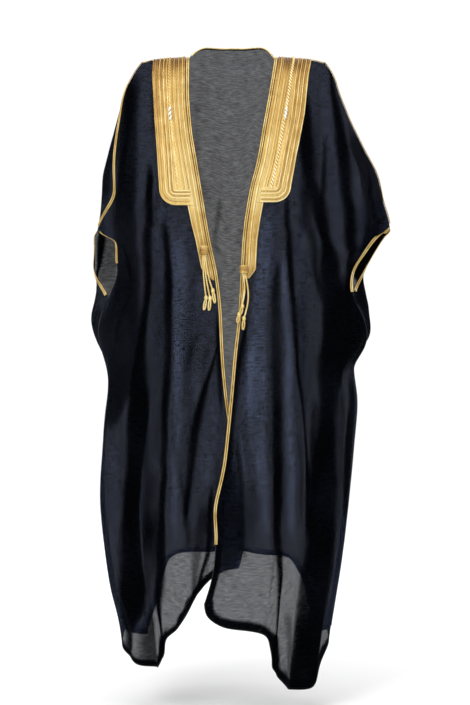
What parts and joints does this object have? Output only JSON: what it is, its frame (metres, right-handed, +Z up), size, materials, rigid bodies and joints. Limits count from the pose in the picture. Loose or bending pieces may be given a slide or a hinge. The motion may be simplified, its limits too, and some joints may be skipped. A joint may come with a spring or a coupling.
{
  "type": "bisht cloak",
  "caption": "Full-length sheer over-cloak worn open, with gold chest bands, braided front edges, shoulders and wrist slits, and hanging cord tassels.",
  "frame": {"origin": "middle of the neck base, level with the top of the shoulders, where the wearer carries the cloak", "axes": "+Z up, the front faces -Y, the wearer's left is at +X"},
  "size_m": [0.6975, 0.3652, 1.4801],
  "materials": {
    "cloth": "sheer matt wool voile with fine cross ribs",
    "gold_band": "close rows of couched gold thread",
    "gold_braid": "plaited gold braid",
    "gold_cord": "twisted gold cord"
  },
  "bodies": {
    "root": {"front_right": "cloth", "front_left": "cloth", "back": "cloth", "edge_braid_right": "gold_braid", "edge_braid_left": "gold_braid", "chest_band_right": "gold_band", "chest_band_left": "gold_band", "placket_band_right": "gold_band", "placket_band_left": "gold_band", "wrist_braid_front_right": "gold_braid", "wrist_braid_front_left": "gold_braid", "wrist_braid_back_right": "gold_braid", "wrist_braid_back_left": "gold_braid", "shoulder_braid_right": "gold_braid", "shoulder_braid_left": "gold_braid", "neck_braid": "gold_braid", "tassel_right": "gold_cord", "tassel_left": "gold_cord"}
  },
  "joints": []
}
